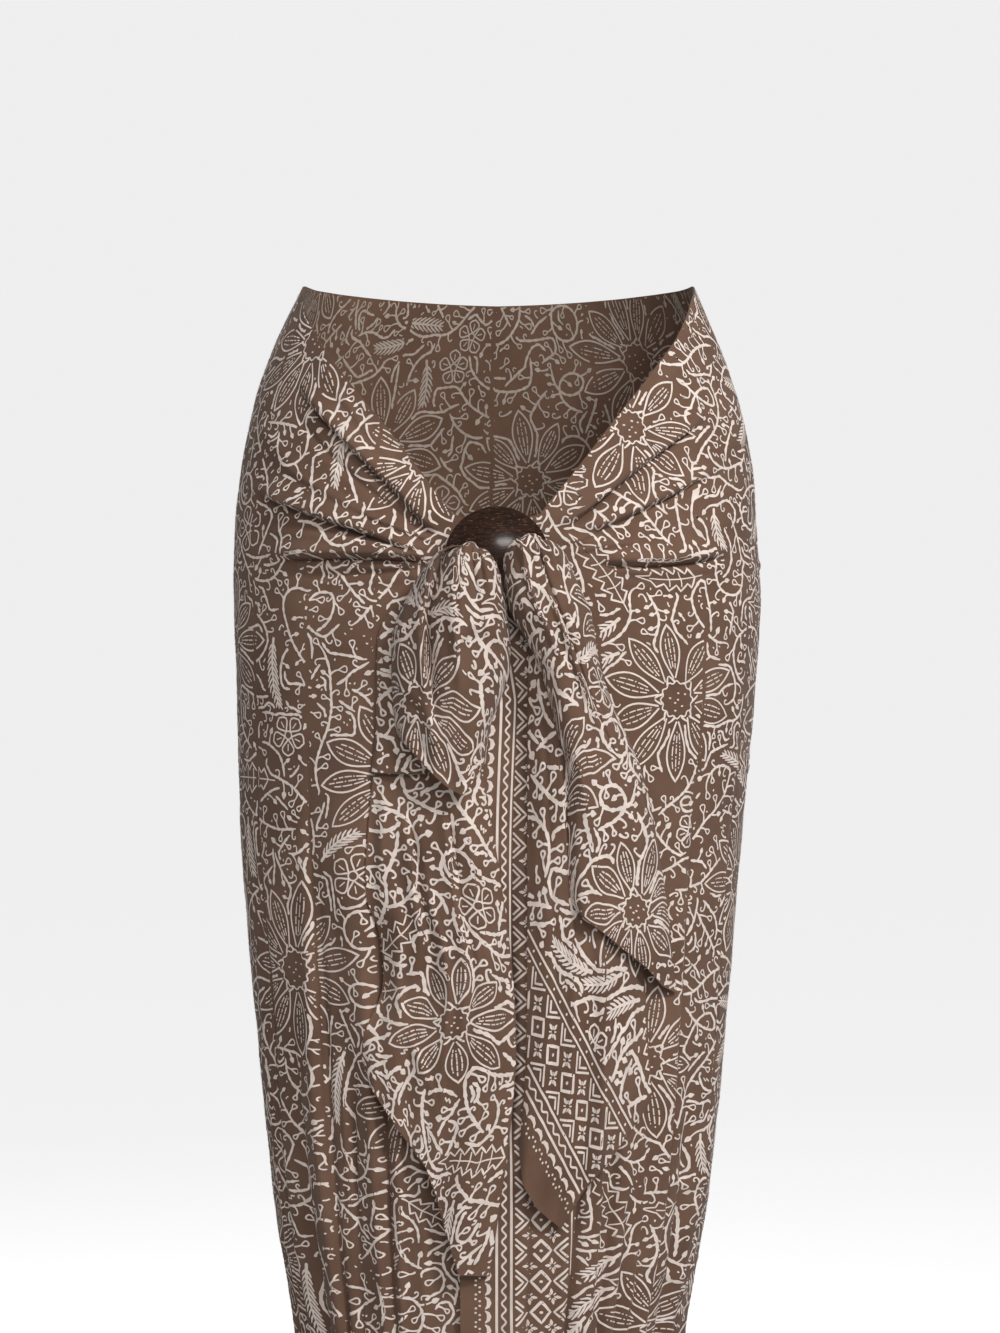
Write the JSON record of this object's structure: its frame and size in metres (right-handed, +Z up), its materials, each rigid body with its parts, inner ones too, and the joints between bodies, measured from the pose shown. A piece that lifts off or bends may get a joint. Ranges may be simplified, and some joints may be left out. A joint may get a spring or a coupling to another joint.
{
  "type": "sarong with shell buckle",
  "caption": "Printed cloth wound low round the hips, its ends drawn through a domed shell disc and hanging in front; hollow worn form, open at top and hem",
  "frame": {"origin": "the middle of the wearer's hips at the height where the cloth is drawn tightest, level with the buckle", "axes": "+Z up, the front with the buckle faces -Y, +X is the viewer's right"},
  "size_m": [0.3632, 0.2827, 1.1509],
  "materials": {
    "cloth": "thin matt cotton, taupe with off-white batik lines",
    "shell": "polished coconut shell, dark brown with tan flecks"
  },
  "bodies": {
    "root": {"wrap_back": "cloth", "wrap_front_under": "cloth", "wrap_front_over": "cloth", "tail_left_bundle": "cloth", "tail_left_side_layer": "cloth", "tail_left_fall": "cloth", "tail_right_flap": "cloth", "tail_right_fall": "cloth", "shell_buckle": "shell"}
  },
  "joints": []
}
